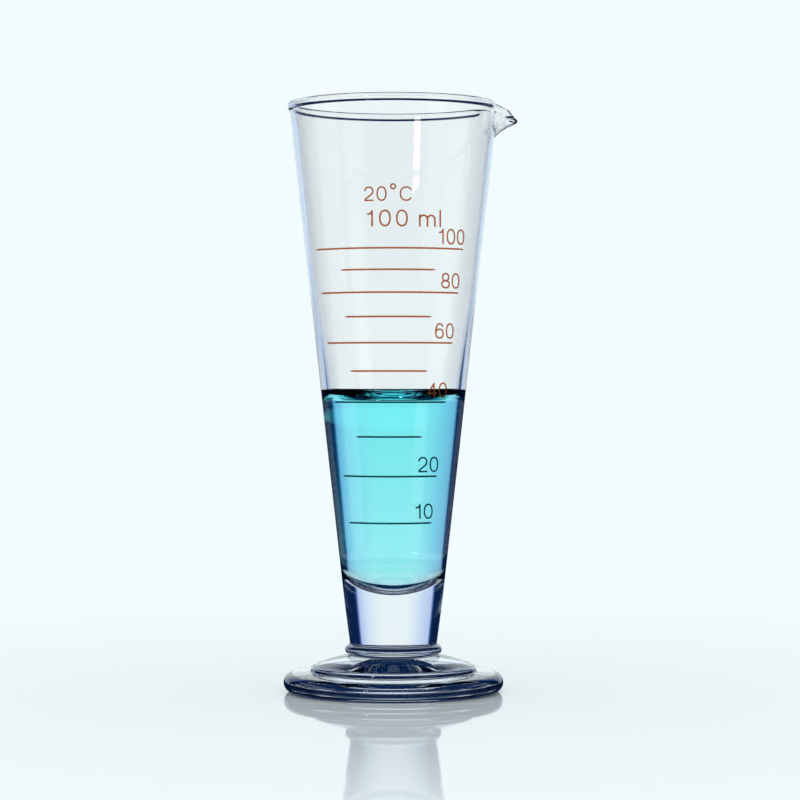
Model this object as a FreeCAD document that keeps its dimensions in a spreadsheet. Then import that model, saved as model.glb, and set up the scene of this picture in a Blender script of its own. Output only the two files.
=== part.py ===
import FreeCAD, Part
import math
import os
import re

import Sketcher

# Conical measuring beaker, 100 ml: one piece of thick clear glass, with a pressed round foot, a
# knopped stem, a slender conical bowl and a pulled pouring lip, a printed volume scale on the
# cone, and a coloured liquid standing in it.
#
# Frame: millimetres, +Z up. The origin is the middle of the foot, on the surface it stands on.
# The lip pours towards +X, and the printed scale faces -Y.

document = FreeCAD.newDocument("ConicalMeasure")
sheet = document.addObject("Spreadsheet::Sheet", "Sizes")

# Driving sizes, in millimetres unless the comment says otherwise

SIZES = {
    "overall_height": 170,          # the foot's underside to the top of the rim
    "mouth_diameter": 60,           # outside of the cone, just under the rim's bead
    "wall_thickness": 2.05,         # glass of the cone, square to its surface
    "bead_diameter": 2.6,           # thickness of the fire-polished bead round the rim
    "bead_proud": 0.6,              # how far the bead stands out of the cone
    "bowl_base_diameter": 29.6,     # outside of the cone, where its straight side begins
    "bowl_base_height": 31.7,       # height where the straight side begins
    "well_height": 28.6,            # height of the lowest point of the hollow
    "neck_inset": 0.25,             # how far the stem draws in from the line of the cone's side
    "neck_height": 14.2,            # height where it is thinnest, just above the ring
    "knop_diameter": 28,            # across the ring at the stem's foot
    "knop_height": 12.1,            # height of the ring's middle
    "knop_thickness": 3,            # height of the ring, a half-round
    "foot_diameter": 63.6,          # across the foot
    "foot_edge": 5.4,               # thickness of the foot's round edge
    "foot_rise": 0.4,               # rise of the foot's flange, from its edge in to the step
    "step_diameter": 47.8,          # across the round step on the foot
    "step_height": 1.9,             # height of the step above the flange
    "step_round": 1.5,              # radius of the step's shoulder
    "dome_radius": 60,              # radius of the dome from the step up to the ring
    "hollow_diameter": 48,          # across the shallow hollow under the foot
    "hollow_depth": 1.2,            # depth of that hollow
    "lip_reach": 6.8,               # how far the lip's tip stands out of the cone
    "lip_width": 15,                # across the lip near its tip
    "lip_drop": 5,                  # how far the tip lies under the top of the rim
    "lip_depth": 8.2,               # height of the lip's underside, from its root to its tip
    "lip_nose_radius": 16,          # the lip's blunt nose, seen from above
    "lip_corner_radius": 2.9,       # the nose's two corners
    "lip_flank_radius": 6,          # the hollow flanks that run back into the cone
    "lip_glass": 1.3,               # glass of the lip's corners and flanks
    "lip_floor": 0.3,               # how far the channel lies above the same section outside
    "lip_dip_start": 3.5,           # where the rim starts to dip, in from the mouth's radius
    "lip_dip_radius": 25,           # that dip, seen from the side
    "lip_back": 0.3,                # how far the back of a lip section lies under the glass
    "lip_root_sink": 0.1,           # how far the lip's root lies under the glass
    "line_width": 0.5,              # height of a printed line
    "print_thickness": 0.1,         # thickness of the fired print
    "print_turn": -10,              # turn of the printed scale about the axis, in degrees
    "long_line": 24.5,              # half of the top long line's arc
    "short_line": 14.6,             # half of a short line's arc, at the height of the top line
    "long_line_narrowing": 0.147,   # what a long line loses for each millimetre lower
    "short_line_narrowing": 0.091,  # what a short line loses for each millimetre lower
    "fill_volume": 41,              # liquid, in millilitres
    "meniscus_rise": 2.8,           # how far the liquid climbs the glass
    "meniscus_width": 3.4,          # how far in from the glass that climb begins
    "cut_margin": 2,                # how far a cut runs past the rim
}
CUBIC_MM_PER_ML = 1000

# Sizes that follow from the driving ones, as formulas


def height_of_volume(millilitres):
    """Height that a volume fills the hollow to, from the volume of the cone above the round well."""
    above_well = f"({CUBIC_MM_PER_ML} * {millilitres} - well_volume)"
    radius_there = f"cbrt(well_top_radius ^ 3 + 3 * taper * {above_well} / pi)"
    return f"(well_top + ({radius_there} - well_top_radius) / taper)"


FORMULAS = {
    "bead_radius": "bead_diameter / 2",
    # the crest of the rim, measured out from the axis
    "bead_middle": "mouth_diameter / 2 + bead_proud - bead_radius",
    # the height where the cone runs into the bead
    "cone_top": "overall_height - bead_radius - sqrt(bead_radius ^ 2 - (bead_radius - bead_proud) ^ 2)",
    # the gain of the cone's radius for each millimetre of height, and the length of its side
    "taper": "(mouth_diameter - bowl_base_diameter) / 2 / (cone_top - bowl_base_height)",
    "lean": "sqrt(1 + taper ^ 2)",
    "wall_level": "wall_thickness * lean",
    # the round bottom of the hollow touches the cone smoothly, at the well's top
    "well_radius": "(bowl_base_diameter / 2 - wall_level + taper * (well_height - bowl_base_height))"
                   " / (lean - taper)",
    "well_top": "well_height + well_radius * (1 - taper / lean)",
    "well_top_radius": "well_radius / lean",
    "well_volume": "pi * (well_top - well_height) ^ 2 * (3 * well_radius - well_top + well_height) / 3",
    "fill_height": height_of_volume("fill_volume"),
    # the stem's side leaves the cone smoothly, and bows in to the neck on one arc
    "stem_drop": "bowl_base_height - neck_height",
    "neck_radius": "bowl_base_diameter / 2 - taper * stem_drop - neck_inset",
    "stem_bow": "((taper * stem_drop + neck_inset) ^ 2 + stem_drop ^ 2) * lean / 2 / neck_inset",
    "hollow_radius": "(hollow_diameter ^ 2 / 4 + hollow_depth ^ 2) / 2 / hollow_depth",
    "lip_tip_height": "overall_height - lip_drop",
    "lip_root_height": "lip_tip_height - lip_depth",
}

# The pouring lip, pulled out of the rim while the glass is soft. Its level sections are stations,
# given as shares of the way up from its root to its tip. Each has a blunt nose with two round
# corners, and two hollow flanks that touch the cone. The reach grows with the fourth power of
# the height above the root and levels off above the tip, which bends the underside like a beak,
# and the width grows with the square root of the reach.

LIP_STATIONS = {"a": 0.2, "b": 0.4, "c": 0.6, "d": 0.8, "e": 1.0, "f": 1.3, "g": 1.7}


def lip_station_formulas(side, letter):
    """The formulas for one level section of one side of the lip's glass."""
    share = LIP_STATIONS[letter]
    spread = 2 * share ** 4 / (1 + share ** 4)
    corner, flank = lip_radii(side)
    own = f"{side}_{letter}_"
    raised = "lip_floor" if side == "channel" else "0"
    inset = "wall_level" if side == "channel" else "0"
    formulas = {
        "level": f"lip_root_height + {share} * lip_depth",
        "height": f"{own}level + {raised}",
        # the circle that the flanks touch
        "back": f"mouth_diameter / 2 + taper * ({own}level - cone_top) - {inset} - lip_back",
        # the middles of the nose's arc and of a corner's arc
        "nose_x": f"{own}back + lip_back - lip_root_sink + lip_reach * {spread:.4f} - lip_nose_radius",
        "corner_y": f"(lip_width / 2 - lip_corner_radius) * {math.sqrt(spread):.4f}",
        "corner_x": f"{own}nose_x + sqrt((lip_nose_radius - {corner}) ^ 2 - {own}corner_y ^ 2)",
        # the middle of a flank's arc, which touches the corner and the circle at the back
        "apart": f"sqrt({own}corner_x ^ 2 + {own}corner_y ^ 2)",
        "along": f"(({own}back + {flank}) ^ 2 - ({corner} + {flank}) ^ 2 + {own}apart ^ 2) / 2 / {own}apart",
        "aside": f"sqrt(({own}back + {flank}) ^ 2 - {own}along ^ 2)",
        "flank_x": f"({own}along * {own}corner_x - {own}aside * {own}corner_y) / {own}apart",
        "flank_y": f"({own}along * {own}corner_y + {own}aside * {own}corner_x) / {own}apart",
    }
    return {own + name: formula for name, formula in formulas.items()}


def lip_radii(side):
    """The radii of a corner and a flank, outside the glass or in the channel."""
    glass_there = "lip_glass" if side == "channel" else "0"
    return f"(lip_corner_radius - {glass_there})", f"(lip_flank_radius + {glass_there})"


for lip_side in ("outside", "channel"):
    for station in LIP_STATIONS:
        FORMULAS.update(lip_station_formulas(lip_side, station))

# Every size has a named cell on the sheet, and all that is drawn below is bound to those cells

cells = {**SIZES, **{name: "=" + formula for name, formula in FORMULAS.items()}}
for row, (name, value) in enumerate(cells.items(), 1):
    sheet.set(f"A{row}", name)
    sheet.set(f"B{row}", str(value))
    sheet.setAlias(f"B{row}", name)
document.recompute()


def on_sheet(expression):
    """An expression on the sheet's names, as the other objects of the document write it."""
    return re.sub(r"[a-z_]+", lambda word: ("Sizes." if word[0] in cells else "") + word[0], expression)


def size(expression):
    """The number that such an expression stands for."""
    number = sheet.evalExpression(expression)
    return float(getattr(number, "Value", number))


def make_body(name):
    body = document.addObject("PartDesign::Body", name)
    body.Label = name
    return body


def attached_sketch(body, name, plane, raised="0"):
    """An empty sketch on one of the body's own origin planes, raised square to it."""
    sketch = body.newObject("Sketcher::SketchObject", name)
    face = next(item for item in body.Origin.OriginFeatures if item.Role == plane)
    sketch.AttachmentSupport = [(face, "")]
    sketch.MapMode = "FlatFace"
    sketch.setExpression("AttachmentOffset.Base.z", on_sheet(raised))
    return sketch


def bind(sketch, expression, kind, *where):
    """Adds a measured constraint whose value follows the sheet."""
    index = sketch.addConstraint(Sketcher.Constraint(kind, *where, size(expression)))
    sketch.setExpression(f"Constraints[{index}]", on_sheet(expression))


def place_point(sketch, edge, end, across, up):
    """Ties one end of an edge to its place, or to an axis where a coordinate is nothing."""
    for expression, kind, axis in ((across, "DistanceX", -2), (up, "DistanceY", -1)):
        if expression == "0":
            sketch.addConstraint(Sketcher.Constraint("PointOnObject", edge, end, axis))
        else:
            bind(sketch, expression, kind, -1, 1, edge, end)


def arc_between(start, finish, radius, turn):
    """The shorter arc between two points. A turn of 1 bends left on the way, and -1 bends right."""
    chord = finish - start
    middle = (start + finish) / 2
    left = FreeCAD.Vector(-chord.y, chord.x, 0).normalize()
    centre = middle + left * turn * math.sqrt(max(radius ** 2 - chord.Length ** 2 / 4, 0))
    first, last = (start, finish) if turn > 0 else (finish, start)
    begins, ends = [math.atan2(point.y - centre.y, point.x - centre.x) for point in (first, last)]
    if ends < begins:
        ends += 2 * math.pi
    return Part.ArcOfCircle(Part.Circle(centre, FreeCAD.Vector(0, 0, 1), radius), begins, ends)


def draw_outline(sketch, corners):
    """A closed outline. A corner is its place, across and up, and the edge that leads to it: a
    straight one where nothing more is given, or an arc of a radius that turns left or right."""
    points = [FreeCAD.Vector(size(across), size(up), 0) for across, up, *_ in corners]
    finishes = []
    for index, (across, up, *arc) in enumerate(corners):
        start, finish = points[index - 1], points[index]
        if arc:
            radius, turn = arc
            sketch.addGeometry(arc_between(start, finish, size(radius), turn), False)
            finishes.append((2, 1) if turn > 0 else (1, 2))
        else:
            sketch.addGeometry(Part.LineSegment(start, finish), False)
            finishes.append((2, 1))
    for index, (across, up, *arc) in enumerate(corners):
        following = (index + 1) % len(corners)
        sketch.addConstraint(
            Sketcher.Constraint("Coincident", index, finishes[index][0], following, finishes[following][1]))
        place_point(sketch, index, finishes[index][0], across, up)
        if arc:
            bind(sketch, arc[0], "Radius", index)


def turned(body, kind, name, corners):
    """A shape turned on the upright axis, added or cut, from its half section."""
    sketch = attached_sketch(body, name + "Section", "XZ_Plane")
    draw_outline(sketch, corners)
    feature = body.newObject(kind, name)
    feature.Profile = sketch
    feature.ReferenceAxis = (sketch, ["V_Axis"])
    feature.Angle = 360
    return feature


# The hollow of the bowl: a straight cone with a round bottom that the cone touches smoothly


def hollow_radius_at(height):
    return f"well_top_radius + taper * ({height} - well_top)"


HOLLOW_BOTTOM = [
    ("0", "well_height"),
    ("well_top_radius", "well_top", "well_radius", 1),
]

# The glass: foot, knop, stem, cone and rim are one turned outline, and the hollow is cut from it

glass = make_body("glass_measure")

turned(glass, "PartDesign::Revolution", "GlassOutside", [
    ("0", "hollow_depth"),
    ("hollow_diameter / 2", "0", "hollow_radius", -1),
    ("foot_diameter / 2 - foot_edge / 2", "0"),
    ("foot_diameter / 2", "foot_edge / 2", "foot_edge / 2", 1),
    ("foot_diameter / 2 - foot_edge / 2", "foot_edge", "foot_edge / 2", 1),
    ("step_diameter / 2", "foot_edge + foot_rise"),
    ("step_diameter / 2", "foot_edge + foot_rise + step_height - step_round"),
    ("step_diameter / 2 - step_round", "foot_edge + foot_rise + step_height", "step_round", 1),
    ("(knop_diameter - knop_thickness) / 2", "knop_height - knop_thickness / 2", "dome_radius", 1),
    ("knop_diameter / 2", "knop_height", "knop_thickness / 2", 1),
    ("(knop_diameter - knop_thickness) / 2", "knop_height + knop_thickness / 2", "knop_thickness / 2", 1),
    ("neck_radius", "neck_height"),
    ("bowl_base_diameter / 2", "bowl_base_height", "stem_bow", 1),
    ("mouth_diameter / 2", "cone_top"),
    ("bead_middle", "overall_height", "bead_radius", 1),
    ("0", "overall_height"),
])

# The lip's two sides are lofted through their stations


def lip_sections(body, side):
    """Sketches of one side of the lip's glass, from the root upwards."""
    corner, flank = lip_radii(side)
    sketches = []
    for letter in LIP_STATIONS:
        own = f"{side}_{letter}_"
        inside = f"{own}back / 2"
        root = [f"{own}back * {own}flank_{way} / ({own}back + {flank})" for way in "xy"]
        share = f"{corner} / ({corner} + {flank})"
        shoulder = [f"{own}corner_{way} + {share} * ({own}flank_{way} - {own}corner_{way})" for way in "xy"]
        longer = f"lip_nose_radius / (lip_nose_radius - {corner})"
        nose = [f"{own}nose_x + {longer} * ({own}corner_x - {own}nose_x)", f"{longer} * {own}corner_y"]
        sketch = attached_sketch(body, f"Lip{side.title()}{letter.upper()}", "XY_Plane", f"{own}height")
        draw_outline(sketch, [
            (inside, f"-({root[1]})"),
            (root[0], f"-({root[1]})"),
            (shoulder[0], f"-({shoulder[1]})", flank, -1),
            (nose[0], f"-({nose[1]})", corner, 1),
            (nose[0], nose[1], "lip_nose_radius", 1),
            (shoulder[0], shoulder[1], corner, 1),
            (root[0], root[1], flank, -1),
            (inside, root[1]),
        ])
        sketches.append(sketch)
    return sketches


def lofted(body, kind, name, sketches):
    feature = body.newObject(kind, name)
    feature.Profile = sketches[0]
    feature.Sections = sketches[1:]
    feature.Ruled = False
    return feature


lofted(glass, "PartDesign::AdditiveLoft", "LipOutside", lip_sections(glass, "outside"))

solid_glass = turned(glass, "PartDesign::Groove", "BowlHollow", HOLLOW_BOTTOM + [
    (hollow_radius_at("(overall_height - bead_radius)"), "overall_height - bead_radius"),
    ("bead_middle", "overall_height",
     f"((bead_middle - {hollow_radius_at('(overall_height - bead_radius)')}) ^ 2 + bead_radius ^ 2)"
     " / 2 / bead_radius", -1),
    ("bead_middle", "overall_height + cut_margin"),
    ("0", "overall_height + cut_margin"),
])

lofted(glass, "PartDesign::SubtractiveLoft", "LipChannel", lip_sections(glass, "channel"))

# The lip's edge dips from the rim to the tip along an arc, cut straight through from the side. No
# section above the tip reaches out twice as far as the tip, so the cut goes that far.

dip_sketch = attached_sketch(glass, "LipDipSection", "XZ_Plane")
draw_outline(dip_sketch, [
    ("mouth_diameter / 2 - lip_dip_start", "overall_height", "lip_dip_radius", 1),
    ("mouth_diameter / 2 - lip_dip_start", "overall_height + cut_margin"),
    ("mouth_diameter / 2 + lip_reach * 2", "overall_height + cut_margin"),
    ("mouth_diameter / 2 + lip_reach * 2", "lip_tip_height"),
    ("mouth_diameter / 2 + lip_reach - lip_glass / 2", "lip_tip_height"),
])
lip_dip = glass.newObject("PartDesign::Pocket", "LipDip")
lip_dip.Profile = dip_sketch
lip_dip.Type = "ThroughAll"
lip_dip.Midplane = True

# The liquid fills the hollow face to face up to its level, and climbs the glass in a meniscus

liquid = make_body("coloured_liquid")
MENISCUS_TOP = "(fill_height + meniscus_rise)"
MENISCUS_RADIUS = hollow_radius_at(MENISCUS_TOP)

turned(liquid, "PartDesign::Revolution", "LiquidInside", HOLLOW_BOTTOM + [
    (MENISCUS_RADIUS, MENISCUS_TOP),
    (f"{MENISCUS_RADIUS} - meniscus_width", "fill_height",
     "(meniscus_width ^ 2 + meniscus_rise ^ 2) / 2 / meniscus_rise", -1),
    ("0", "fill_height"),
])

# The printed scale: a line for every ten millilitres, each at the height to which that volume
# fills the hollow. The lines of the labelled marks are the long ones.

MARKS = range(10, 101, 10)
LONG_MARKS = (10, 20, 40, 60, 80, 100)


def cone_slice(name, height, thickness, turn):
    """A slice of a cone over the bowl's outside, as high as a line is wide, open over part of a turn."""
    slice_ = document.addObject("Part::Cone", name)
    for which, end in (("Radius1", "0"), ("Radius2", "line_width")):
        radius = f"mouth_diameter / 2 + taper * ({height} + {end} - cone_top) + {thickness}"
        slice_.setExpression(which, on_sheet(radius))
    slice_.setExpression("Height", on_sheet("line_width"))
    slice_.setExpression("Angle", on_sheet(turn))
    slice_.setExpression("Placement.Base.z", on_sheet(height))
    slice_.setExpression("Placement.Rotation.Angle", on_sheet(f"print_turn - 90 - {turn} / 2"))
    return slice_


scale_lines = document.addObject("Part::Compound", "scale_lines")
scale_lines.Label = "scale_lines"
line_solids = []
top_mark = height_of_volume(max(MARKS))
for millilitres in MARKS:
    kind = "long" if millilitres in LONG_MARKS else "short"
    mark = height_of_volume(millilitres)
    foot_of_line = f"({mark} - line_width / 2)"
    arc = f"({kind}_line - {kind}_line_narrowing * ({top_mark} - {mark}))"
    turn = f"({arc} * 360 / pi / (mouth_diameter / 2 + taper * ({mark} - cone_top)))"
    line = document.addObject("Part::Cut", f"Line{millilitres}")
    line.Base = cone_slice(f"Line{millilitres}Outside", foot_of_line, "print_thickness", turn)
    line.Tool = cone_slice(f"Line{millilitres}Inside", foot_of_line, "0", turn)
    line_solids.append(line)
scale_lines.Links = line_solids

document.recompute()

# Nothing is written unless every feature built, and every cut took glass away

failed = [item.Name for item in document.Objects if {"Invalid", "Error"} & set(item.State)]
if failed:
    raise RuntimeError(f"these objects failed: {failed}")

steps = [item for item in glass.Group if item.isDerivedFrom("PartDesign::Feature")]
volumes = [item.Shape.Volume for item in steps]
for earlier, item, before, after in zip(steps, steps[1:], volumes, volumes[1:]):
    if (after > before) != ("Additive" in item.TypeId):
        raise RuntimeError(f"{item.Name} changes {earlier.Name} from {before:.0f} to {after:.0f} cubic mm")

SOLIDS = {glass: 1, liquid: 1, scale_lines: len(MARKS)}
for item, count in SOLIDS.items():
    if item.Shape.isNull() or not item.Shape.isValid() or len(item.Shape.Solids) != count:
        raise RuntimeError(f"{item.Label} has a bad shape")

os.makedirs("parts", exist_ok=True)
for item in SOLIDS:
    item.Shape.exportStep(f"parts/{item.Label}.step")
    print(f"{item.Label}: {item.Shape.Volume / CUBIC_MM_PER_ML:.2f} cubic centimetres")
for millilitres in MARKS:
    print(f"{millilitres} ml mark at {size(height_of_volume(millilitres)):.2f} mm")
print(f"liquid's level at {size('fill_height'):.2f} mm")
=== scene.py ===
# %% [markdown]
# # A conical glass measure, lit from behind
#
# A conical measure is a footed glass funnel that stands on a bench and tells how much liquid is in
# it. This one holds 100 ml. It is thick clear glass with a pulled pouring lip, a scale in red-brown
# fired enamel, and dyed water up to the 40 ml mark.
#
# Clear glass has no colour of its own. Nearly everything that the eye sees in it is the room behind
# it, bent and squeezed towards its edges, so the lesson spends its time on three things: a smooth
# mesh with the true thickness of glass, a liquid that wets the glass, and a studio that has
# something pale to show in the middle of the glass and something dark to show at its edges.
#
# The solid model comes first, as a fixed frame. The pieces that are made here lie in the same place.

# %% Load the frame
import math

import bmesh
import bpy
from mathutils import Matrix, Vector


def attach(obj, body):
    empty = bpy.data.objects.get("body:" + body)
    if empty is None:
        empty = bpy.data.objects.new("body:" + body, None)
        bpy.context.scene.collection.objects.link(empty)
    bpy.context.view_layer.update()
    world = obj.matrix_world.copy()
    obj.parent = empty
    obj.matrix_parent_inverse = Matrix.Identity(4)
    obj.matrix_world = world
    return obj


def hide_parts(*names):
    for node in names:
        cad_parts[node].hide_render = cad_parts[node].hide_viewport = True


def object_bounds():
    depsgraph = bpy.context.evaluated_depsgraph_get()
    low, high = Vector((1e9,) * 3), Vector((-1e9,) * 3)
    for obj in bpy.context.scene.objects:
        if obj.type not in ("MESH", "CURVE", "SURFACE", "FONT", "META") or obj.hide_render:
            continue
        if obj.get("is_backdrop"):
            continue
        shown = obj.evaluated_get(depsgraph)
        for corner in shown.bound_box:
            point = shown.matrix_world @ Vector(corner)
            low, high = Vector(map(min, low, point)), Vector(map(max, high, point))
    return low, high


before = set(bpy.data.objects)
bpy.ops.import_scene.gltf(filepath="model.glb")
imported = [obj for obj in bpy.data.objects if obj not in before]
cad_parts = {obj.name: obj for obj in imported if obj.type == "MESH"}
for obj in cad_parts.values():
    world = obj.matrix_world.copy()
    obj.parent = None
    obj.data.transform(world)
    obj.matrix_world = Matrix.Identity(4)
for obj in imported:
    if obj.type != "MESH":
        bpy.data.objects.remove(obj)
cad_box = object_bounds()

print("CAD box in mm:", [[round(v * 1000, 1) for v in corner] for corner in cad_box])

# %% [markdown]
# ## Millimetres, and a grid that wraps round
#
# Glassware is drawn in millimetres, and Blender works in metres, so every length below is written in
# millimetres and multiplied by one constant when its mesh is made.
#
# Every turned shape here is a stack of rings. A ring is given as its points, so it need not be round,
# which is how the lip gets into the same mesh as the rest of the glass.

# %% Ring stacks
MM = 0.001


def make_piece(name, points, faces, smooth=True):
    """A mesh object from points in millimetres."""
    mesh = bpy.data.meshes.new(name)
    mesh.from_pydata([tuple(MM * v for v in point) for point in points], [], faces)
    mesh.validate()
    if smooth:
        mesh.shade_smooth()
    else:
        mesh.shade_flat()
    piece = bpy.data.objects.new(name, mesh)
    bpy.context.scene.collection.objects.link(piece)
    return piece


def stack_rings(name, bottom, rings, top):
    """A closed skin over rings of equally many points, with one point at each end."""
    count = len(rings[0])
    points = [bottom] + [point for ring in rings for point in ring] + [top]
    last = len(points) - 1
    faces = [(0, 1 + (i + 1) % count, 1 + i) for i in range(count)]
    for lower in range(len(rings) - 1):
        base, above = 1 + lower * count, 1 + (lower + 1) * count
        for i in range(count):
            j = (i + 1) % count
            faces.append((base + i, base + j, above + j, above + i))
    base = last - count
    faces += [(base + i, base + (i + 1) % count, last) for i in range(count)]
    return make_piece(name, points, faces)


print("lengths in millimetres are multiplied by", MM)

# %% [markdown]
# ## The section of the glass
#
# The glass is round apart from its lip, so most of it is one section turned about the axis. A curve
# with a Screw modifier would turn it too, but then a boolean would have to add the lip, and the seam
# that it leaves shows in clear glass as a black line. So the section is worked out as points.
#
# A section is straight runs and arcs. One helper adds an arc between two points, another walks the
# finished section in even steps, and a third rubs its corners. Pressed glass is hot and soft when it
# leaves the mould, so none of its corners stays sharp.

# %% Sections of straight runs and arcs
def arc_points(start, finish, radius, turn, steps=48):
    """Points on the shorter arc between two points, without the first. A turn of 1 bends left."""
    (x0, z0), (x1, z1) = start, finish
    chord = math.hypot(x1 - x0, z1 - z0)
    reach = math.sqrt(max(radius ** 2 - chord ** 2 / 4, 0)) / chord * turn
    middle_x = (x0 + x1) / 2 - (z1 - z0) * reach
    middle_z = (z0 + z1) / 2 + (x1 - x0) * reach
    begin = math.atan2(z0 - middle_z, x0 - middle_x)
    sweep = math.atan2(z1 - middle_z, x1 - middle_x) - begin
    sweep = (sweep + math.pi) % (2 * math.pi) - math.pi
    return [(middle_x + radius * math.cos(begin + sweep * i / steps),
             middle_z + radius * math.sin(begin + sweep * i / steps)) for i in range(1, steps + 1)]


def section(first, *edges):
    """A run of points from edges, each (point) for a straight run or (point, radius, turn)."""
    points = [first]
    for finish, *arc in edges:
        points += arc_points(points[-1], finish, *arc) if arc else [finish]
    return points


def even_steps(points, step):
    """The same run again, with points at even steps along it."""
    lengths = [math.dist(a, b) for a, b in zip(points, points[1:])]
    total = sum(lengths)
    count = max(2, round(total / step))
    walked, index, result = 0.0, 0, []
    for i in range(count + 1):
        target = total * i / count
        while index < len(lengths) - 1 and walked + lengths[index] < target:
            walked += lengths[index]
            index += 1
        share = min(max((target - walked) / lengths[index], 0), 1)
        a, b = points[index], points[index + 1]
        result.append((a[0] + (b[0] - a[0]) * share, a[1] + (b[1] - a[1]) * share))
    return result


def softened(points, rounds):
    """The run with its corners rubbed round, and its ends kept."""
    for _ in range(rounds):
        points = [points[0]] + [
            tuple((a + 2 * b + c) / 4 for a, b, c in zip(before, here, after))
            for before, here, after in zip(points, points[1:], points[2:])] + [points[-1]]
    return points


quarter = section((1, 0), ((0, 1), 1, 1))
print("a quarter of a circle is drawn with", len(quarter), "points")

# %% [markdown]
# ## Sizes of the measure
#
# The photograph labels three sizes: 170 mm high, 60 mm across the mouth and 28 mm across the ring at
# the stem's foot. The rest are proportions, and the wall is as thick as the scale needs it to be for
# the marks to come out where they are. Above the liquid the photographed wall looks thinner, so its
# inner face opens a little there, and the outside stays as it is.

# %% Sizes in millimetres
HEIGHT = 170.0
MOUTH_RADIUS = 30.0          # outside of the cone, just under the bead
WALL = 2.05                  # square to the surface
UPPER_WALL = 0.8             # how thick the empty part looks in the photograph
THINS = (88.0, 122.0)        # heights between which it thins
BEAD_RADIUS = 1.3            # the fire-polished bead round the rim
BEAD_PROUD = 0.6             # how far the bead stands out of the cone
CONE_BASE = (14.8, 31.7)     # radius and height where the straight side begins
WELL_HEIGHT = 28.6           # lowest point of the hollow

cone_top = HEIGHT - BEAD_RADIUS - math.sqrt(BEAD_RADIUS ** 2 - (BEAD_RADIUS - BEAD_PROUD) ** 2)
taper = (MOUTH_RADIUS - CONE_BASE[0]) / (cone_top - CONE_BASE[1])
lean = math.hypot(1, taper)
wall_level = WALL * lean
well_radius = (CONE_BASE[0] - wall_level + taper * (WELL_HEIGHT - CONE_BASE[1])) / (lean - taper)
well_top = WELL_HEIGHT + well_radius * (1 - taper / lean)


def smooth_step(low, high, value):
    """Nothing up to the first value, one from the second, and an easy curve between them."""
    share = min(max((value - low) / (high - low), 0), 1)
    return share * share * (3 - 2 * share)


def outside_radius(height):
    """The cone's outside at a height."""
    return MOUTH_RADIUS + taper * (height - cone_top)


def glass_thickness(height):
    """How thick the wall is along a level line at a height."""
    return wall_level - (WALL - UPPER_WALL) * smooth_step(*THINS, height)


print(f"taper {taper:.4f}, well radius {well_radius:.2f} mm, cone top {cone_top:.2f} mm")

# %% [markdown]
# ## The pouring lip
#
# The lip is pulled out of the hot rim with a rod. It is a short, wide, blunt gutter that hooks
# slightly downwards, and the rim dips towards its tip. A level section through it has a nose of a
# large radius, two tight corners, and two hollow flanks that run back into the cone.
#
# It could be sculpted by hand, but then nothing would keep the glass of its wall even. Here each ring
# of points asks, in its own direction, how far the lip's section reaches out, and takes the larger of
# that and the cone. A soft maximum blends the two, as surface tension does in the hot glass.

# %% How far the lip reaches
LIP_ROOT, LIP_TIP = 156.8, 165.0     # heights
LIP_REACH, LIP_WIDTH = 7.48, 15.0
NOSE_RADIUS, CORNER_RADIUS, FLANK_RADIUS = 16.0, 2.9, 6.0
LIP_GLASS = 1.3                      # glass of the corners and flanks
CHANNEL_RAISE = 0.3                  # the channel's sections lie this much higher
LIP_BACK, LIP_SINK = 0.3, 0.1        # how far a section's back and root lie under the cone
FIRST_SHARE = 0.2                    # below this share of its height the lip is under the cone
LIP_SIDE = math.pi / 4               # beyond this turn there is no lip
LIP_BLEND = 0.3                      # how softly lip and cone run together


def soft_max(a, b, blend):
    """The larger of two, rounded where they are about equal."""
    share = min(max(0.5 + 0.5 * (a - b) / blend, 0), 1)
    return b + (a - b) * share + blend * share * (1 - share)


def reach_of_circle(turn, centre, radius, far):
    """Distance from the axis to a circle, looking out in one direction."""
    along = centre[0] * math.cos(turn) + centre[1] * math.sin(turn)
    inside = along ** 2 - centre[0] ** 2 - centre[1] ** 2 + radius ** 2
    return along + math.sqrt(max(inside, 0)) * (1 if far else -1)


def lip_section(share, inner):
    """The back of a level section, and its circles: each with the turn where it ends, and if it bulges."""
    spread = 2 * share ** 4 / (1 + share ** 4)
    inset = LIP_GLASS if inner else 0
    corner, flank = CORNER_RADIUS - inset, FLANK_RADIUS + inset
    level = LIP_ROOT + share * (LIP_TIP - LIP_ROOT)
    back = outside_radius(level) - (glass_thickness(level) if inner else 0) - LIP_BACK
    nose_x = back + LIP_BACK - LIP_SINK + LIP_REACH * spread - NOSE_RADIUS
    corner_y = (LIP_WIDTH / 2 - CORNER_RADIUS) * math.sqrt(spread)
    corner_x = nose_x + math.sqrt((NOSE_RADIUS - corner) ** 2 - corner_y ** 2)
    apart = math.hypot(corner_x, corner_y)
    along = ((back + flank) ** 2 - (corner + flank) ** 2 + apart ** 2) / 2 / apart
    aside = math.sqrt((back + flank) ** 2 - along ** 2)
    flank_x = (along * corner_x - aside * corner_y) / apart
    flank_y = (along * corner_y + aside * corner_x) / apart
    longer = NOSE_RADIUS / (NOSE_RADIUS - corner)
    nose_end = math.atan2(longer * corner_y, nose_x + longer * (corner_x - nose_x))
    share_out = corner / (corner + flank)
    corner_end = math.atan2(corner_y + share_out * (flank_y - corner_y),
                            corner_x + share_out * (flank_x - corner_x))
    return back, ((nose_end, (nose_x, 0), NOSE_RADIUS, True),
                  (corner_end, (corner_x, corner_y), corner, True),
                  (math.atan2(flank_y, flank_x), (flank_x, flank_y), flank, False))


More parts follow.
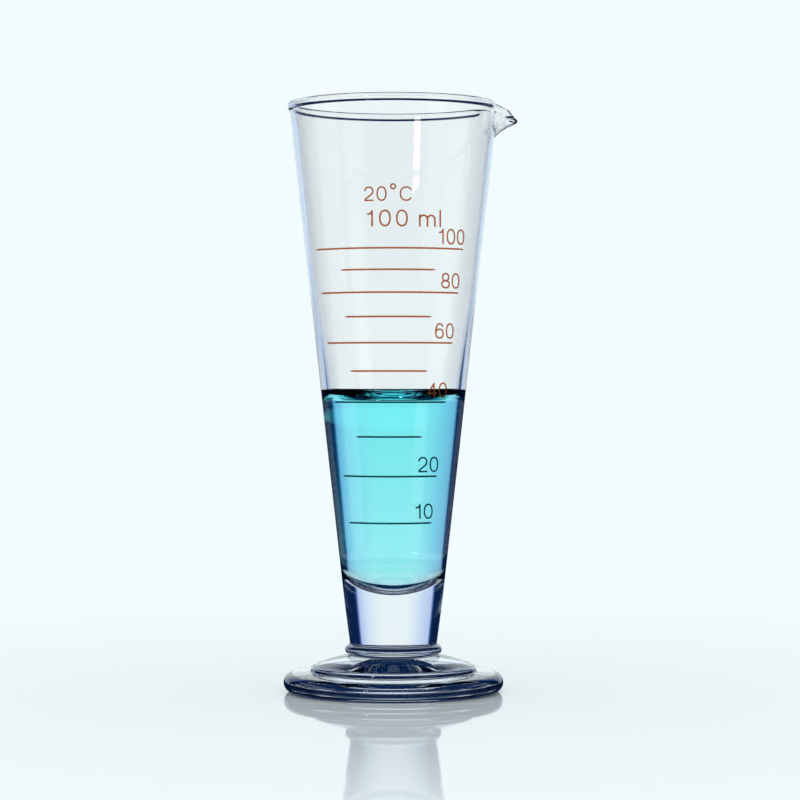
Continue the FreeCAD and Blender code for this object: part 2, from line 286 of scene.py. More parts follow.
def lip_reach(turn, height, inner):
    """How far the lip's section reaches in one direction, or nothing beside and below it."""
    share = (height - (CHANNEL_RAISE if inner else 0) - LIP_ROOT) / (LIP_TIP - LIP_ROOT)
    if share < FIRST_SHARE or abs(turn) > LIP_SIDE:
        return 0
    back, circles = lip_section(share, inner)
    for end, centre, radius, bulges in circles:
        if abs(turn) <= end:
            return reach_of_circle(abs(turn), centre, radius, bulges)
    return back


def glass_radius(turn, height, inner=False):
    """The glass's outside or inside in one direction at one height, lip included."""
    cone = outside_radius(height) - (glass_thickness(height) if inner else 0)
    return soft_max(cone, lip_reach(turn, height, inner), LIP_BLEND)


print(f"{LIP_TIP:.0f} mm up, the lip stands {glass_radius(0, LIP_TIP) - outside_radius(LIP_TIP):.1f} mm out")

# %% [markdown]
# The rim dips along the lip, from the bead down to the tip. The dip depends on how far out the glass
# is, and how far out it is depends on the height of the dip, so each direction is settled by trying
# again many times, a part of the way each time.

# %% The rim's height in every direction
DIP_START, DIP_END = 25.5, 36.95       # how far out the dip begins, and where it is deepest
DIP_DEPTH, DIP_POWER = 5.0, 1.6
DIP_SIDE = math.pi / 3                 # beyond this turn the rim is level
SETTLING_ROUNDS, SETTLING_SHARE = 60, 0.35


def rim_height(turn):
    """The top of the rim in one direction."""
    height = HEIGHT
    for _ in range(SETTLING_ROUNDS):
        out = glass_radius(turn, height) * math.cos(turn)
        share = max((out - DIP_START) / (DIP_END - DIP_START), 0)
        dip = DIP_DEPTH * share ** DIP_POWER if abs(turn) < DIP_SIDE else 0
        height += (HEIGHT - dip - height) * SETTLING_SHARE
    return height


print(f"rim {rim_height(math.pi):.1f} mm high, lip's tip {rim_height(0):.1f} mm high")

# %% [markdown]
# ## The glass
#
# The rings go up the outside, over the rim and down the inside. Rings are closer together where the
# surface bends, and points are closer together round the lip. Glass needs this: a facet that a
# matt surface would hide bends the whole picture behind it. A subdivision surface would smooth a
# coarser mesh, but it draws every curve in a little, and then no size is quite true.

# %% Directions round the axis
LIP_FAN = math.radians(33)              # the points are closer within this turn of the lip
FINE_POINTS, COARSE_POINTS = 150, 250   # across the lip, and round the rest

turns = [-LIP_FAN + 2 * LIP_FAN * i / FINE_POINTS for i in range(FINE_POINTS)]
turns += [LIP_FAN + (2 * math.pi - 2 * LIP_FAN) * i / COARSE_POINTS for i in range(COARSE_POINTS)]


def ring(radius, height):
    """A round ring."""
    return [(radius * math.cos(turn), radius * math.sin(turn), height) for turn in turns]


print("every ring has", len(turns), "points")

# %% [markdown]
# The mouth was worked by hand after the bowl was blown: its rim was melted to a bead in the flame,
# and the lip was pulled out of it, which draws the bead thinner. So these rings aren't round, and the
# points are worked out one direction at a time, up the outside, over the bead and down the inside.

# %% Columns of points over the rim
UPPER_START = 150.0                                # below this height all rings are round
OUTER_RINGS, CAP_RINGS, INNER_RINGS = 44, 14, 36
OUTER_CROWDING, INNER_CROWDING = 1.8, 1.5          # above 1, rings crowd towards the rim
BEAD_ENDS = (math.radians(19), math.radians(31))   # the bead fades out between these turns
LIP_EDGE = 0.65                                    # half the thickness of the lip's edge


def rim_column(turn):
    """In one direction, the points from the outside over the rim to the inside."""
    signed = (turn + math.pi) % (2 * math.pi) - math.pi
    bead = smooth_step(*BEAD_ENDS, abs(signed))
    half_high = LIP_EDGE + (BEAD_RADIUS - LIP_EDGE) * bead
    middle = rim_height(signed) - half_high
    proud = bead * (BEAD_PROUD - taper * (middle - cone_top))
    column = []
    for i in range(OUTER_RINGS):
        share = 1 - (1 - i / OUTER_RINGS) ** OUTER_CROWDING
        height = UPPER_START + (middle - UPPER_START) * share
        below = min((middle - height) / BEAD_RADIUS, 1)
        bulge = max(proud - bead * BEAD_RADIUS * (1 - math.sqrt(1 - below ** 2)), 0)
        column.append((glass_radius(signed, height) + bulge, height))
    outer = glass_radius(signed, middle) + proud
    inner = glass_radius(signed, middle, inner=True)
    for i in range(CAP_RINGS + 1):
        swing = math.pi * i / CAP_RINGS
        column.append(((outer + inner) / 2 + (outer - inner) / 2 * math.cos(swing),
                       middle + half_high * math.sin(swing)))
    for i in range(1, INNER_RINGS + 1):
        height = middle + (UPPER_START - middle) * (i / INNER_RINGS) ** INNER_CROWDING
        column.append((glass_radius(signed, height, inner=True), height))
    return [(radius * math.cos(turn), radius * math.sin(turn), height) for radius, height in column]


upper_rings = [list(level) for level in zip(*map(rim_column, turns))]
print(len(upper_rings), "rings make the rim and the lip")

# %% [markdown]
# The foot is pressed in a mould: a flat plate with a round edge, a small step, a low dome, and a
# ring, the knop, on the dome. A shallow hollow underneath lets it stand without rocking. From the
# knop the solid stem widens into the bowl with hardly a bend, since both were drawn from one lump of
# hot glass. Lights and darks in the foot all come from these few curves, so each is a named size.

# %% Section of foot and stem
FOOT_RADIUS, FOOT_ROUND = 31.8, 2.7        # the edge is a half circle
HOLLOW_RADIUS, HOLLOW_DEPTH = 24.0, 1.2    # under the foot
STEP_RADIUS, STEP_ROUND = 23.9, 1.5
STEP_FOOT, STEP_TOP = 5.8, 6.2             # heights of the step's upright face
DOME_BOW = 60.0                            # radius of the dome's curve
KNOP_RADIUS, KNOP_ROUND, KNOP_HEIGHT = 14.0, 1.5, 12.1
NECK_HEIGHT, NECK_INSET = 14.2, 0.25       # the stem draws in by this much from the line of the cone
SECTION_STEP = 0.2                         # between two points of the section
SOFTENING_ROUNDS = 5

hollow_bow = (HOLLOW_RADIUS ** 2 + HOLLOW_DEPTH ** 2) / 2 / HOLLOW_DEPTH
plate_radius = FOOT_RADIUS - FOOT_ROUND
knop_root = KNOP_RADIUS - KNOP_ROUND
stem_rise = CONE_BASE[1] - NECK_HEIGHT
stem_flare = taper * stem_rise + NECK_INSET
neck_radius = CONE_BASE[0] - stem_flare
stem_bow = (stem_flare ** 2 + stem_rise ** 2) * lean / 2 / NECK_INSET
foot_and_stem = section(
    (0, HOLLOW_DEPTH),
    ((HOLLOW_RADIUS, 0), hollow_bow, -1),
    ((plate_radius, 0),),
    ((FOOT_RADIUS, FOOT_ROUND), FOOT_ROUND, 1),
    ((plate_radius, 2 * FOOT_ROUND), FOOT_ROUND, 1),
    ((STEP_RADIUS, STEP_FOOT),),
    ((STEP_RADIUS, STEP_TOP),),
    ((STEP_RADIUS - STEP_ROUND, STEP_TOP + STEP_ROUND), STEP_ROUND, 1),
    ((knop_root, KNOP_HEIGHT - KNOP_ROUND), DOME_BOW, 1),
    ((KNOP_RADIUS, KNOP_HEIGHT), KNOP_ROUND, 1),
    ((knop_root, KNOP_HEIGHT + KNOP_ROUND), KNOP_ROUND, 1),
    ((neck_radius, NECK_HEIGHT),),
    (CONE_BASE, stem_bow, 1),
)
foot_and_stem = softened(even_steps(foot_and_stem, SECTION_STEP), SOFTENING_ROUNDS)
print(f"foot and stem: {len(foot_and_stem)} points, neck {2 * neck_radius:.1f} mm across")

# %% [markdown]
# The hollow ends in a round well, as blown glass does. It follows the outside at the thickness of the
# wall, and the well's arc runs into the straight side without a corner.

# %% Turn the glass
SIDE_STEP, WELL_STEP = 4.0, 0.5            # between two rings of a straight side, and of the well
HOLLOW_RINGS = 40

cone_side = even_steps([CONE_BASE, (outside_radius(UPPER_START), UPPER_START)], SIDE_STEP)
hollow = []
for i in range(HOLLOW_RINGS + 1):
    level = UPPER_START + (well_top - UPPER_START) * i / HOLLOW_RINGS
    hollow.append((outside_radius(level) - glass_thickness(level), level))
well = even_steps(section(hollow[-1], ((0, WELL_HEIGHT), well_radius, -1)), WELL_STEP)

lower_rings = [ring(*point) for point in foot_and_stem[1:] + cone_side[1:-1]]
inner_rings = [ring(*point) for point in hollow[1:] + well[1:-1]]
glass = stack_rings("turned_glass", (0, 0, HOLLOW_DEPTH),
                    lower_rings + upper_rings + inner_rings, (0, 0, WELL_HEIGHT))
print("glass:", len(glass.data.polygons), "faces")

# %% [markdown]
# ## The dyed water
#
# Water wets glass: it touches the wall everywhere and climbs it in a meniscus. If the mesh of the
# water stopped just short of the glass there would be a film of air, which mirrors like silver, and
# if both lay on the same surface they would flicker. So the water's skin lies a little way inside
# the glass. Light then passes glass and water in the right order, and the water seems to fill the
# measure nearly to its outside, as it does in life.

# %% Fill the measure
LIQUID_LEVEL = 84.0
MENISCUS_RISE, MENISCUS_WIDTH = 3.4, 3.4
MENISCUS_BOW = 6.0                   # radius of its curve
OVERLAP = 0.08                       # how far the water's skin lies inside the glass
MENISCUS_STEP, SURFACE_STEP = 0.15, 2.0


def water_radius(height):
    """The water's skin at a height."""
    return outside_radius(height) - wall_level + OVERLAP * lean


water_foot = WELL_HEIGHT - OVERLAP
water_well = section((water_radius(well_top), well_top), ((0, water_foot), well_radius + OVERLAP, -1))
meniscus_top = LIQUID_LEVEL + MENISCUS_RISE
edge = water_radius(meniscus_top)
surface = section((edge, meniscus_top), ((edge - MENISCUS_WIDTH, LIQUID_LEVEL), MENISCUS_BOW, -1))
water_run = even_steps(water_well[::-1], WELL_STEP)
for stretch, step in (([water_run[-1], surface[0]], SIDE_STEP), (surface, MENISCUS_STEP),
                      ([surface[-1], (0, LIQUID_LEVEL)], SURFACE_STEP)):
    water_run += even_steps(stretch, step)[1:]
water = stack_rings("dyed_water", (0, 0, water_foot),
                    [ring(*point) for point in water_run[1:-1]], (0, 0, LIQUID_LEVEL))
print("water:", len(water.data.polygons), "faces, level", LIQUID_LEVEL, "mm")

# %% [markdown]
# ## The printed scale
#
# The scale is a ceramic ink, screen-printed on the cone and fired until it melts into the glass. All
# of it is drawn with one width of pen, in a plain engineer's alphabet. A text object could set the
# numbers, but a font's strokes are of many widths, so the alphabet is drawn here: each sign is a few
# centre lines.

# %% Signs from pen strokes
def loop(x, y, half_wide, half_high, begin=0, end=360, square=2.25, steps=40):
    """Part of a slightly squared oval, from one angle to another."""
    points = []
    for i in range(steps + 1):
        angle = math.radians(begin + (end - begin) * i / steps)
        c, s = math.cos(angle), math.sin(angle)
        points.append((x + half_wide * math.copysign(abs(c) ** (2 / square), c),
                       y + half_high * math.copysign(abs(s) ** (2 / square), s)))
    return points


# Every sign is its width and its strokes, in shares of the height of a numeral
SIGNS = {
    "0": (0.72, [loop(0.36, 0.5, 0.3, 0.445)]),
    "1": (0.46, [[(0.08, 0.74), (0.18, 0.75), (0.27, 0.8), (0.33, 0.94), (0.335, 0.055)]]),
    "2": (0.7, [loop(0.35, 0.67, 0.275, 0.275, 172, -28)
                + [(0.5, 0.44), (0.3, 0.29), (0.12, 0.16), (0.07, 0.055), (0.64, 0.055)]]),
    "4": (0.72, [[(0.5, 0.055), (0.5, 0.93), (0.06, 0.3), (0.68, 0.3)]]),
    "6": (0.72, [loop(0.36, 0.33, 0.285, 0.275), loop(0.37, 0.44, 0.3, 0.505, 188, 42)]),
    "8": (0.72, [loop(0.36, 0.72, 0.24, 0.225), loop(0.36, 0.275, 0.295, 0.22)]),
    "C": (0.85, [loop(0.46, 0.5, 0.39, 0.445, 38, 322)]),
    "°": (0.52, [loop(0.26, 0.99, 0.16, 0.16, square=2)]),
    "m": (1.16, [[(0.08, 0.05), (0.08, 0.68)],
                 loop(0.32, 0.42, 0.24, 0.26, 180, 0) + [(0.56, 0.05)],
                 loop(0.8, 0.42, 0.24, 0.26, 180, 0) + [(1.04, 0.05)]]),
    "l": (0.16, [[(0.08, 0.05), (0.08, 0.98)]]),
    " ": (0.3, []),
}

print("signs drawn:", " ".join(SIGNS))

# %% [markdown]
# A fine grid asks at every node how far it is from the nearest line, and keeps what lies within half
# a pen's width, with the cells on the border clipped to the true edge. This way strokes that meet
# become one shape with round ends, as ink does, and the ink never lies twice over itself, which would
# show in a film that light shines through.

# %% Ink on a fine grid
PEN = 0.105                  # the pen's width as a share of a sign's height
GRID = 0.045                 # the grid's cell, as such a share
GRID_TOP, MARGIN = 1.2, 2    # how high the grid reaches, and its free cells all round


def distance_to_strokes(x, y, strokes):
    """How far a point is from the nearest centre line."""
    best = math.inf
    for stroke in strokes:
        for (ax, ay), (bx, by) in zip(stroke, stroke[1:]):
            dx, dy = bx - ax, by - ay
            square = dx * dx + dy * dy
            share = min(max(((x - ax) * dx + (y - ay) * dy) / square, 0), 1) if square else 0
            best = min(best, math.hypot(x - ax - dx * share, y - ay - dy * share))
    return best


def inked_cells(strokes, width):
    """Points and faces of the ink of one sign, on a grid clipped at the pen's edge."""
    points, faces, known = [], [], {}
    depth = {(i, j): PEN / 2 - distance_to_strokes(i * GRID, j * GRID, strokes)
             for i in range(-MARGIN, int(width / GRID) + MARGIN + 2)
             for j in range(-MARGIN, int(GRID_TOP / GRID) + MARGIN + 1)}

    def node(key, x, y):
        if key not in known:
            known[key] = len(points)
            points.append((x * GRID, y * GRID))
        return known[key]

    for i, j in depth:
        corners = [(i, j), (i + 1, j), (i + 1, j + 1), (i, j + 1)]
        if any(corner not in depth for corner in corners):
            continue
        face = []
        for here, following in zip(corners, corners[1:] + corners[:1]):
            inside, next_inside = depth[here] > 0, depth[following] > 0
            if inside:
                face.append(node(here, *here))
            if inside != next_inside:
                share = depth[here] / (depth[here] - depth[following])
                crossing = [a + (b - a) * share for a, b in zip(here, following)]
                face.append(node(tuple(sorted((here, following))), *crossing))
        if len(face) > 2:
            faces.append(face)
    return points, faces


inked = {sign: inked_cells(strokes, width) for sign, (width, strokes) in SIGNS.items() if strokes}
print("cells of ink:", {sign: len(faces) for sign, (points, faces) in inked.items()})

# %% [markdown]
# The print is bent round the cone. A point of the flat artwork is so far along the arc and so high,
# and the ink stands a few hundredths of a millimetre out of the glass with its back just inside it.
# A Shrinkwrap modifier would press the artwork on to the glass as well, but it would squeeze the
# signs towards the sides, where the cone turns away.

# %% Lay the artwork on the cone
PRINT_TURN = math.radians(-100)      # the scale's middle, seen from above
INK_LIFT, INK_DEPTH = 0.07, 0.1      # mm out of the glass, and mm of thickness
WELD = 0.0001                        # mm, for points that lie on each other


def on_cone(along, height):
    """A point of the artwork on the glass, as millimetres along the arc and a height."""
    radius = outside_radius(height)
    turn = PRINT_TURN + along / radius
    out = radius + INK_LIFT * lean
    return (out * math.cos(turn), out * math.sin(turn), height)


def ink_piece(name, points, faces):
    """The artwork as a thin solid film."""
    piece = make_piece(name, [on_cone(*point) for point in points], faces, smooth=False)
    film = bmesh.new()
    film.from_mesh(piece.data)
    bmesh.ops.remove_doubles(film, verts=film.verts, dist=WELD * MM)
    bmesh.ops.solidify(film, geom=film.faces[:], thickness=INK_DEPTH * MM)
    bmesh.ops.recalc_face_normals(film, faces=film.faces)
    film.to_mesh(piece.data)
    film.free()
    return piece


def text_width(text, size, spacing):
    """How long a line of text is, without the space after its last sign."""
    return sum((SIGNS[sign][0] + spacing) * size for sign in text) - spacing * size


def text_ink(text, left, baseline, size, spacing):
    """Points and faces of a line of text that starts at the left."""
    points, faces = [], []
    for sign in text:
        if sign in inked:
            flat, cells = inked[sign]
            start = len(points)
            points += [(left + x * size, baseline + y * size) for x, y in flat]
            faces += [[start + i for i in face] for face in cells]
        left += (SIGNS[sign][0] + spacing) * size
    return points, faces


print(f"the scale faces {math.degrees(PRINT_TURN):.0f} degrees from the lip")

# %% [markdown]
# The marks are not evenly spaced. A cone holds more in each millimetre the higher it is, so the height
# of every mark comes from the volume below it, as on the real measure.

# %% Heights of the marks
CUBIC_MM_PER_ML = 1000

well_top_radius = well_radius / lean
well_depth = well_top - WELL_HEIGHT
well_volume = math.pi * well_depth ** 2 * (3 * well_radius - well_depth) / 3


def height_of_volume(millilitres):
    """How high the hollow is filled: the round well first, and a slice of the cone on top."""
    in_cone = CUBIC_MM_PER_ML * millilitres - well_volume
    radius = (well_top_radius ** 3 + 3 * taper * in_cone / math.pi) ** (1 / 3)
    return well_top + (radius - well_top_radius) / taper


MARKS = {volume: height_of_volume(volume) for volume in range(10, 101, 10)}
print("marks in mm:", {volume: round(height, 2) for volume, height in MARKS.items()})

# %% [markdown]
# The long marks have numbers, which stand on their right ends. The artwork is narrower lower down, as
# the glass is, but its signs and its pen are of one size throughout.

# %% Marks, numerals and heading
LABELLED = (10, 20, 40, 60, 80, 100)
LINE_WIDTH, LINE_STEP = 0.5, 0.8       # mm, and mm between the points of a line
LEAST_WIDTH = 0.3                      # a line's end is cut off where it is this share of its width
LONG_HALF, LONG_LOSS = 24.5, 0.147     # half of the top mark, and how much of it each mm further down loses
SHORT_HALF, SHORT_LOSS = 14.6, 0.091   # the same for the marks without numbers
NUMERAL, NUMERAL_SPACE = 4.45, 0.14
NUMERAL_GAP = 1.15                     # from the middle of a line to the feet of its number
NUMERAL_PAST = 0.3                     # how far a number reaches past the end of its line
# A text, where it begins, its height above the table, its size and its spacing
HEADING = (("20°C", -6.4, 139.9, 4.1, 0.17),
           ("100", -5.7, 132.8, 4.75, 0.28),
           ("ml", 9.0, 132.8, 4.75, 0.16))


def half_line(volume):
    """Half of the arc of a mark."""
    down = MARKS[100] - MARKS[volume]
    return LONG_HALF - LONG_LOSS * down if volume in LABELLED else SHORT_HALF - SHORT_LOSS * down


def line_ink(half, height):
    """A ruled line with round ends."""
    steps = round(half * 2 / LINE_STEP)
    points = []
    for i in range(steps + 1):
        along = half * (2 * i / steps - 1)
        end = max(abs(along) - (half - LINE_WIDTH / 2), 0) / (LINE_WIDTH / 2)
        wide = LINE_WIDTH / 2 * max(math.sqrt(max(1 - end ** 2, 0)), LEAST_WIDTH)
        points += [(along, height - wide), (along, height + wide)]
    return points, [[2 * i, 2 * i + 2, 2 * i + 3, 2 * i + 1] for i in range(steps)]


def joined(parts):
    """Points and faces of several pieces of artwork, as those of one."""
    points, faces = [], []
    for part_points, part_faces in parts:
        faces += [[len(points) + i for i in face] for face in part_faces]
        points += part_points
    return points, faces


marks = ink_piece("scale_marks", *joined([line_ink(half_line(v), z) for v, z in MARKS.items()]))
numbers = []
for volume in LABELLED:
    text = str(volume)
    left = half_line(volume) + NUMERAL_PAST - text_width(text, NUMERAL, NUMERAL_SPACE)
    numbers.append(text_ink(text, left, MARKS[volume] + NUMERAL_GAP, NUMERAL, NUMERAL_SPACE))
numerals = ink_piece("scale_numerals", *joined(numbers))
heading = ink_piece("scale_heading", *joined([text_ink(*line) for line in HEADING]))
for volume in LABELLED:
    print(f"{volume} ml at {MARKS[volume]:.2f} mm, line {2 * half_line(volume):.1f} mm long")

# %% [markdown]
# ## Colour, nodes and materials
#
# Colours are written as sRGB hex, the way a paint program shows them, and turned to the linear
# values that light adds up in. One function adds a node with its settings, its values and its links,
# so that a material reads as a list of what it is made of.

# %% Hex to linear, and nodes
SHARE, FIRST, SECOND, MIXED = 0, 6, 7, 2      # sockets of a Mix node that mixes colours


def linear(code, alpha=1.0):
    """The linear colour of an sRGB hex code."""
    channels = [int(code[i:i + 2], 16) / 255 for i in (1, 3, 5)]
    light = [c / 12.92 if c <= 0.04045 else ((c + 0.055) / 1.055) ** 2.4 for c in channels]
    return (*light, alpha)


def add_node(tree, kind, settings=(), values=(), links=()):
    """A node with its settings, its unlinked values and the sockets that feed it."""
    made = tree.nodes.new(kind)
    for name, value in dict(settings).items():
        setattr(made, name, value)
    for socket, value in dict(values).items():
        made.inputs[socket].default_value = value
    for socket, source in dict(links).items():
        tree.links.new(source, made.inputs[socket])
    return made


def new_material(name):
    """A material with an empty node tree and its output."""
    material = bpy.data.materials.new(name)
    material.use_nodes = True
    material.node_tree.nodes.clear()
    return material, material.node_tree, add_node(material.node_tree, "ShaderNodeOutputMaterial")


print("a middle grey of #808080 is", round(linear("#808080")[0], 3), "in linear light")

# %% [markdown]
# ## Borosilicate glass, pressed and fire-polished
#
# Low-expansion borosilicate glass has an IOR of about 1.473. Fire polishing leaves it perfectly
# smooth to the touch, but not flat: the surface rolls gently where the mould and the flame left it,
# with waves some ten millimetres long and a hundredth high. They are what makes light wander
# in the thick foot, and they are low enough for a bump to draw them. The glass itself takes a trace
# of red out of a long path, so the thick foot and stem are a little bluer than the thin wall.

# %% Glass material
WAVE_LENGTH = 11.0      # mm
WAVE_HEIGHT = 0.012     # mm


def clear_material(name, ior, colour, density):
    """A smooth clear material that takes colour out of the light on its way through."""
    material, tree, output = new_material(name)
    clear = add_node(tree, "ShaderNodeBsdfPrincipled", values={
        "Base Color": linear("#FFFFFF"), "Roughness": 0.0, "IOR": ior, "Transmission Weight": 1.0})
    tint = add_node(tree, "ShaderNodeVolumeAbsorption", values={"Color": linear(colour), "Density": density})
    tree.links.new(clear.outputs["BSDF"], output.inputs["Surface"])
    tree.links.new(tint.outputs["Volume"], output.inputs["Volume"])
    return material, tree, clear


glass_material, tree, clear = clear_material("borosilicate_glass_fire_polished", 1.473, "#CFE4F7", 6.0)
place = add_node(tree, "ShaderNodeTexCoord")
waves = add_node(tree, "ShaderNodeTexNoise",
                 values={"Scale": 1 / (WAVE_LENGTH * MM), "Detail": 1.0, "Roughness": 0.4},
                 links={"Vector": place.outputs["Object"]})
ripple = add_node(tree, "ShaderNodeBump", values={"Strength": 1.0, "Distance": WAVE_HEIGHT * MM},
                  links={"Height": waves.outputs["Fac"]})
tree.links.new(ripple.outputs["Normal"], clear.inputs["Normal"])
print("waves of", WAVE_LENGTH, "mm roll over the glass")

# %% [markdown]
# ## Dyed water
#
# Water has an IOR of 1.333. The dye is in the water and not on it: it takes red out of the light
# along the way, so the middle of the cone, where the path is long, is a strong cyan, and the bottom
# of the cone, where it is short, is paler. A tinted surface would be the same blue everywhere, so
# the dye is an absorption in the volume, set as a colour and a density.

# %% Water material
DYE_DENSITY = 40.0      # per metre

water_material, *_ = clear_material("dyed_water_cyan", 1.333, "#00FDFF", DYE_DENSITY)
bowl_across = 2 * (outside_radius(LIQUID_LEVEL) - wall_level) * MM
print(f"{math.exp(-DYE_DENSITY * bowl_across):.2f} of the red light gets across the bowl at the level")

# %% [markdown]
# ## Fired enamel
#
# The ink is a red iron enamel, a glass frit full of pigment, melted on in a kiln. The layer is so thin
# that light from behind shines through it as through stained glass. Over clear glass it is red-brown.
# Over the cyan water, which has already taken the red away, it looks dark teal. Here that dark teal is
# painted shade: the ink's colour is set by height and changes at the level of the liquid, on top of
# the light that the film really lets through. A film this thin does not bend light, so its IOR is
# nearly 1. The frit does not melt evenly, and a fine mottle varies its colour.

# %% Enamel material
MOTTLE = 0.35               # mm
BACKLIGHT_SHADE_EDGE = (1.2, 0.4)       # mm above the level, where the dark colour begins and is full

ink_material, tree, output = new_material("fired_enamel_iron_red")
place = add_node(tree, "ShaderNodeTexCoord")
mottle = add_node(tree, "ShaderNodeTexNoise", values={"Scale": 1 / (MOTTLE * MM), "Detail": 2.0},
                  links={"Vector": place.outputs["Object"]})
shade = add_node(tree, "ShaderNodeMix", {"data_type": "RGBA"},
                 {FIRST: linear("#B5603C"), SECOND: linear("#D07A50")}, {SHARE: mottle.outputs["Fac"]})
parts = add_node(tree, "ShaderNodeSeparateXYZ", links={0: place.outputs["Object"]})
# Painted shade: from just above the liquid's level downwards the ink's colour is set to dark teal by height,
# standing in for backlight that the water has filtered
painted_shade_from, painted_shade_full = [(LIQUID_LEVEL + rise) * MM for rise in BACKLIGHT_SHADE_EDGE]
painted_shade_share = add_node(tree, "ShaderNodeMapRange", values={"From Min": painted_shade_from, "From Max": painted_shade_full},
               links={"Value": parts.outputs["Z"]})
painted_backlight_shade = add_node(tree, "ShaderNodeMix", {"data_type": "RGBA"}, {SECOND: linear("#19565A")},
                  {SHARE: painted_shade_share.outputs["Result"], FIRST: shade.outputs[MIXED]})
film = add_node(tree, "ShaderNodeBsdfPrincipled",
                values={"Roughness": 0.1, "IOR": 1.01, "Transmission Weight": 0.8},
                links={"Base Color": painted_backlight_shade.outputs[MIXED]})
tree.links.new(film.outputs["BSDF"], output.inputs["Surface"])

for piece, material in ((glass, glass_material), (water, water_material), (marks, ink_material),
                        (numerals, ink_material), (heading, ink_material)):
    piece.data.materials.append(material)
    print(piece.name, "is", material.name)

# %% [markdown]
# ## Tie the pieces to the frame
#
# Every piece is tied to the body that it moves with, and the solids that it stands for are hidden.

# %% Ride and replace
for piece, slot in ((glass, "clear_glass"), (water, "cyan_liquid"), (marks, "fired_enamel"),
                    (numerals, "fired_enamel"), (heading, "fired_enamel")):
    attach(piece, "root")
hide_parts("glass_measure")
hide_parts("coloured_liquid")
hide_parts("scale_lines")
print("three pieces take the place of solids, and the two others are print alone")

# %% [markdown]
# ## The studio
#
# Glass is photographed against the light. A bright panel behind it fills the middle of the glass, and
# dark boards beside the panel are what the edges of the glass bend into view: they draw its outline
# in navy. A whole room of cards and lamps could be built, but a world is enough, and it can show each
# kind of ray what that ray should meet. Rays that went through glass see the panel, the boards and
# two side windows. Rays that glass mirrors see the same room with a dark ceiling and nothing pale
# below. Matt surfaces see a plain, even room, and the camera sees a pale wall.
#
# The foot and the round bottom of the liquid bend rays downwards, so below the horizon the room has
# the pale table, a dark band for its front edge, and pale again straight below.

# %% The room that glass sees
NAVY, DIM, WINDOW = "#092148", "#6E93BC", "#F6FFFF"
PANEL_EDGE, PANEL, TABLE_TOP = "#24508A", "#F4FEFF", "#EAF6FF"
BACKDROP = "#F1FCFF"             # what the camera sees behind the object
# Bearings in degrees from +Y towards +X, and what stands there
ROOM = ((-180, NAVY), (-112, NAVY), (-108, DIM), (-104, WINDOW), (-76, WINDOW), (-72, DIM),
        (-68, NAVY), (-38, NAVY), (-35, PANEL_EDGE), (-31, "#BFD3F7"), (-19, "#CFE3FC"),
        (-12, "#E4F3FF"), (-4, PANEL), (16, PANEL), (24, "#E4F3FF"), (31, "#D3E6FC"),
        (38, "#B5CBF5"), (41, PANEL_EDGE), (44, NAVY), (118, NAVY), (122, DIM), (126, WINDOW),
        (144, WINDOW), (148, DIM), (152, NAVY), (180, NAVY))
# Angles above the horizon, the colour there, and how far it covers the boards
LEVELS = ((-90, TABLE_TOP, 1), (-68, TABLE_TOP, 1),      # straight below
          (-62, NAVY, 1), (-39, NAVY, 1),                # the table's front edge
          (-32, TABLE_TOP, 1), (-16, TABLE_TOP, 1),      # the table further off
          (-13, TABLE_TOP, 0), (14, NAVY, 0),            # boards, panel and windows
          (18, NAVY, 1), (90, NAVY, 1))                  # ceiling
CEILING = (24, 38)               # for what the glass mirrors, it darkens between these angles
MIRROR_FOOT = (-2, 0)            # and it is dark below these


def fill_ramp(node, stops):
    """Give a colour ramp its stops, each a position and a colour."""
    elements = node.color_ramp.elements
    while len(elements) < len(stops):
        elements.new(0.5)
    for element, (position, colour) in zip(elements, stops):
        element.position = position
        element.color = colour


print("the room has", len(ROOM), "bearings and", len(LEVELS), "levels")

# %% World
world = bpy.data.worlds.new("studio")
bpy.context.scene.world = world
world.use_nodes = True
tree = world.node_tree
tree.nodes.clear()
direction = add_node(tree, "ShaderNodeTexCoord")
parts = add_node(tree, "ShaderNodeSeparateXYZ", links={0: direction.outputs["Generated"]})
bearing = add_node(tree, "ShaderNodeMath", {"operation": "ARCTAN2"},
                   links={0: parts.outputs["X"], 1: parts.outputs["Y"]})
rise = add_node(tree, "ShaderNodeMath", {"operation": "ARCSINE"}, links={0: parts.outputs["Z"]})
ramps = []
for angle, limit, stops in ((bearing, 180, ROOM), (rise, 90, LEVELS)):
    ends = {"From Min": math.radians(-limit), "From Max": math.radians(limit)}
    share = add_node(tree, "ShaderNodeMapRange", values=ends, links={"Value": angle.outputs[0]})
    ramp = add_node(tree, "ShaderNodeValToRGB", links={0: share.outputs["Result"]})
    fill_ramp(ramp, [((degrees + limit) / (2 * limit), linear(*colour)) for degrees, *colour in stops])
    ramps.append(ramp)
boards, levels = ramps

through = add_node(tree, "ShaderNodeMix", {"data_type": "RGBA"}, links={
    SHARE: levels.outputs["Alpha"], FIRST: boards.outputs["Color"], SECOND: levels.outputs["Color"]})
mirrored = boards.outputs["Color"]
for angles, navy_socket, room_socket in ((CEILING, SECOND, FIRST), (MIRROR_FOOT, FIRST, SECOND)):
    low, high = [math.sin(math.radians(angle)) for angle in angles]
    above = add_node(tree, "ShaderNodeMapRange", {"interpolation_type": "SMOOTHSTEP"},
                     {"From Min": low, "From Max": high}, {"Value": parts.outputs["Z"]})
    darkened = add_node(tree, "ShaderNodeMix", {"data_type": "RGBA"}, {navy_socket: linear(NAVY)},
                        {SHARE: above.outputs["Result"], room_socket: mirrored})
    mirrored = darkened.outputs[MIXED]

